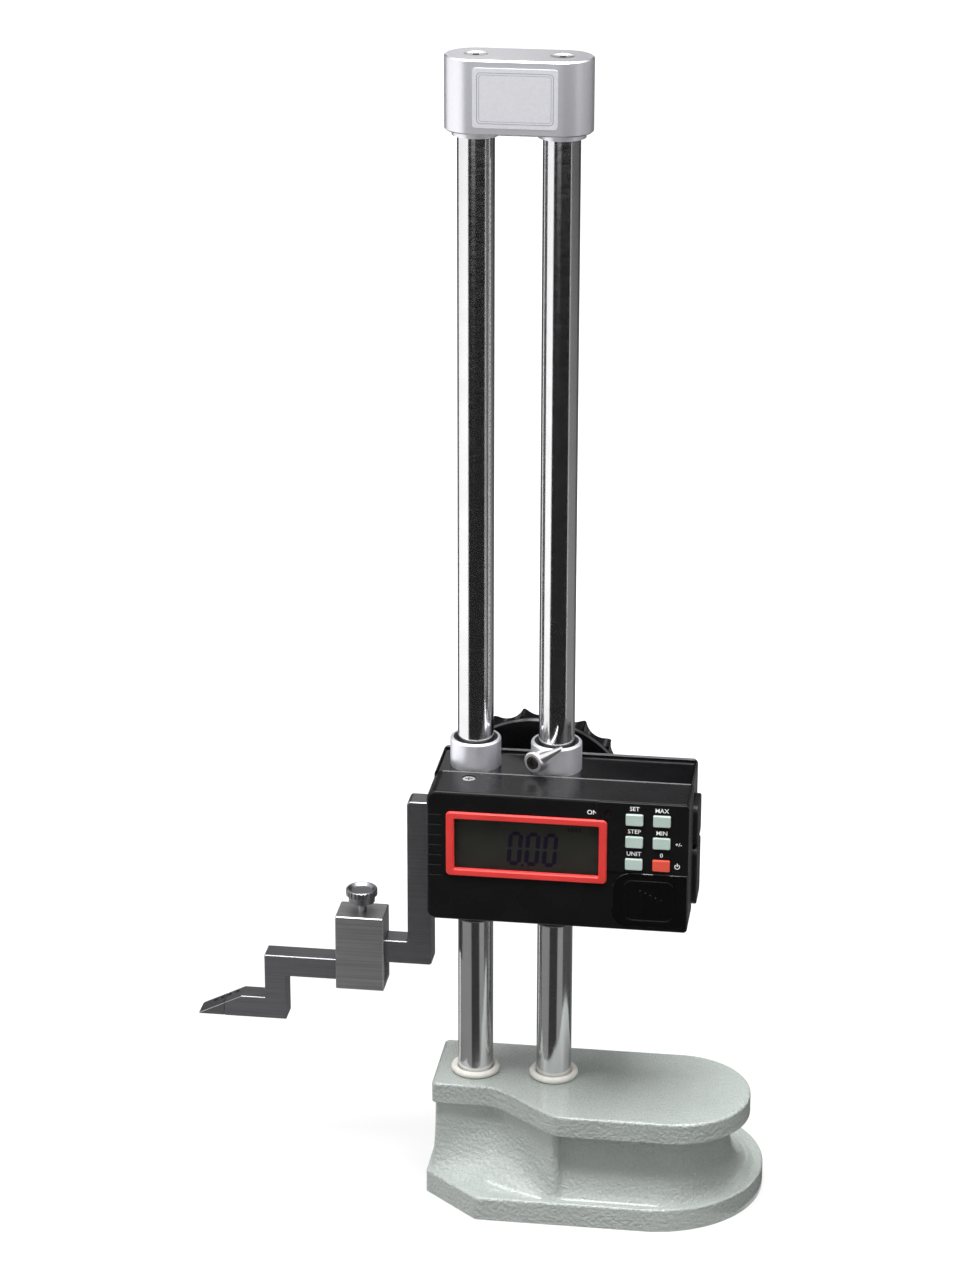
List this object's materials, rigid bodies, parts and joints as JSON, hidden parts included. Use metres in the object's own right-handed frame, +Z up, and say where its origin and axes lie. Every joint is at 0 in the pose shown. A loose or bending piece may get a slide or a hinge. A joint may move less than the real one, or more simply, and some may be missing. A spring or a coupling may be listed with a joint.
{
  "type": "digital height gauge",
  "caption": "Twin-column digital height gauge: a geared slider with a display, handwheel and scriber rides on two upright columns over a cast base.",
  "frame": {"origin": "on the base's underside, midway between the two columns", "axes": "+X right along the row of columns, +Y away from the display towards the handwheel, +Z up along the columns"},
  "size_m": [0.2455, 0.0998, 0.4935],
  "materials": {
    "base_paint": "orange-peel hammered enamel",
    "ground_steel": "ground and polished",
    "satin_alloy": "satin machined",
    "screw_steel": "blackened and plain steel",
    "name_plate": "satin plate",
    "bumper_rubber": "matte cord",
    "frame_alloy": "die-cast",
    "bronze": "turned",
    "dark_bush": "matte",
    "seal_rubber": "matte",
    "black_housing": "fine satin moulding",
    "side_plastic": "matte",
    "connector_plastic": "moulded",
    "red_bezel": "gloss",
    "window_glass": "clear",
    "lcd_panel": "flat",
    "board": "solder mask",
    "mat_rubber": "moulded",
    "lens_plastic": "clear tinted",
    "key_grey": "matte",
    "key_red": "matte",
    "battery_plastic": "satin moulding",
    "contact_metal": "spring brass",
    "battery_steel": "nickel plated",
    "gear_steel": "cut steel",
    "wheel_plastic": "gloss",
    "encoder_plastic": "flat",
    "lever_steel": "satin",
    "tool_steel": "hardened and ground",
    "carbide": "lapped"
  },
  "bodies": {
    "stand": {"base_casting": "base_paint", "left_column": "ground_steel", "right_column": "ground_steel", "column_washers": "screw_steel", "column_bolts": "screw_steel", "left_bumper_ring": "bumper_rubber", "right_bumper_ring": "bumper_rubber", "top_cap": "satin_alloy", "cap_screws": "screw_steel", "cap_plate": "name_plate"},
    "slider": {"slider_frame": "frame_alloy", "gear_plate": "frame_alloy", "gear_plate_screws": "screw_steel", "shaft_bushes": "bronze", "encoder_bushes": "bronze", "left_upper_collar": "satin_alloy", "right_upper_collar": "satin_alloy", "left_wiper_seal": "seal_rubber", "right_wiper_seal": "seal_rubber", "left_lower_bush": "dark_bush", "right_lower_bush": "dark_bush", "rear_cover": "black_housing", "rear_cover_screws": "screw_steel", "side_pad": "side_plastic", "data_connector": "connector_plastic", "display_housing": "black_housing", "housing_screw": "screw_steel", "display_bezel": "red_bezel", "display_window": "window_glass", "lcd_module": "lcd_panel", "circuit_board": "board", "keypad_mat": "mat_rubber", "status_lens": "lens_plastic", "battery_holder": "battery_plastic", "battery_contacts": "contact_metal", "battery": "battery_steel", "encoder_sensor": "connector_plastic", "jaw": "tool_steel", "jaw_screws": "screw_steel"},
    "wheel": {"drive_shaft": "gear_steel", "handwheel": "wheel_plastic", "handwheel_screw": "screw_steel", "crank_spindle": "screw_steel"},
    "crank": {"crank_knob": "wheel_plastic"},
    "encoder": {"encoder_pinion": "gear_steel", "encoder_disc": "encoder_plastic"},
    "lever": {"clamp_lever": "lever_steel", "lever_screw": "screw_steel"},
    "clamp": {"scriber_clamp": "tool_steel"},
    "thumb": {"thumb_screw": "tool_steel"},
    "scriber_body": {"scriber": "tool_steel", "carbide_tip": "carbide"},
    "battery_door": {"battery_cover": "battery_plastic"},
    "port_door": {"data_port_cover": "side_plastic"},
    "key_top_left_body": {"key_top_left": "key_grey"},
    "key_top_right_body": {"key_top_right": "key_grey"},
    "key_middle_left_body": {"key_middle_left": "key_grey"},
    "key_middle_right_body": {"key_middle_right": "key_grey"},
    "key_bottom_left_body": {"key_bottom_left": "key_grey"},
    "key_bottom_right_body": {"key_bottom_right": "key_red"}
  },
  "joints": [
    {"name": "slider_travel", "type": "slide", "parent": "stand", "child": "slider", "axis": [0, 0, 1], "range_m": [-0.0711, 0.254]},
    {"name": "wheel_turn", "type": "hinge", "parent": "slider", "child": "wheel", "pos_m": [0.0052, 0.034, 0.162], "axis": [0, 1, 0], "range_deg": [-682, 2430]},
    {"name": "knob_spin", "type": "hinge", "parent": "wheel", "child": "crank", "pos_m": [0.02513, 0.049, 0.13825], "axis": [0, 1, 0], "continuous": true},
    {"name": "encoder_turn", "type": "hinge", "parent": "slider", "child": "encoder", "pos_m": [0.0052, 0.004, 0.18211], "axis": [0, 1, 0], "range_deg": [-682, 2430]},
    {"name": "lever_turn", "type": "hinge", "parent": "slider", "child": "lever", "pos_m": [0.01005, -0.01157, 0.2018], "axis": [-0.515, -0.8572, 0], "range_deg": [-40, 25]},
    {"name": "clamp_slide", "type": "slide", "parent": "slider", "child": "clamp", "axis": [1, 0, 0], "range_m": [-0.006, 0.0095]},
    {"name": "thumb_turn", "type": "hinge", "parent": "clamp", "child": "thumb", "pos_m": [-0.0663, 0.001, 0.1304], "axis": [0, 0, 1], "range_deg": [0, 720]},
    {"name": "scriber_slide", "type": "slide", "parent": "slider", "child": "scriber_body", "axis": [1, 0, 0], "range_m": [-0.012, 0.016]},
    {"name": "battery_door_slide", "type": "slide", "parent": "slider", "child": "battery_door", "axis": [1, 0, 0], "range_m": [0, 0.031]},
    {"name": "port_door_pull", "type": "slide", "parent": "slider", "child": "port_door", "axis": [1, 0, 0], "range_m": [0, 0.012]},
    {"name": "key_top_left_press", "type": "slide", "parent": "slider", "child": "key_top_left_body", "axis": [0, 1, 0], "range_m": [0, 0.0008], "stiffness_N_per_m": 900, "springref_m": -0.0006},
    {"name": "key_top_right_press", "type": "slide", "parent": "slider", "child": "key_top_right_body", "axis": [0, 1, 0], "range_m": [0, 0.0008], "stiffness_N_per_m": 900, "springref_m": -0.0006},
    {"name": "key_middle_left_press", "type": "slide", "parent": "slider", "child": "key_middle_left_body", "axis": [0, 1, 0], "range_m": [0, 0.0008], "stiffness_N_per_m": 900, "springref_m": -0.0006},
    {"name": "key_middle_right_press", "type": "slide", "parent": "slider", "child": "key_middle_right_body", "axis": [0, 1, 0], "range_m": [0, 0.0008], "stiffness_N_per_m": 900, "springref_m": -0.0006},
    {"name": "key_bottom_left_press", "type": "slide", "parent": "slider", "child": "key_bottom_left_body", "axis": [0, 1, 0], "range_m": [0, 0.0008], "stiffness_N_per_m": 900, "springref_m": -0.0006},
    {"name": "key_bottom_right_press", "type": "slide", "parent": "slider", "child": "key_bottom_right_body", "axis": [0, 1, 0], "range_m": [0, 0.0008], "stiffness_N_per_m": 900, "springref_m": -0.0006}
  ],
  "couplings": [
    {"joint": "wheel_turn", "follows": "slider_travel", "rad_per_m": 166.67},
    {"joint": "encoder_turn", "follows": "slider_travel", "rad_per_m": 166.67}
  ]
}
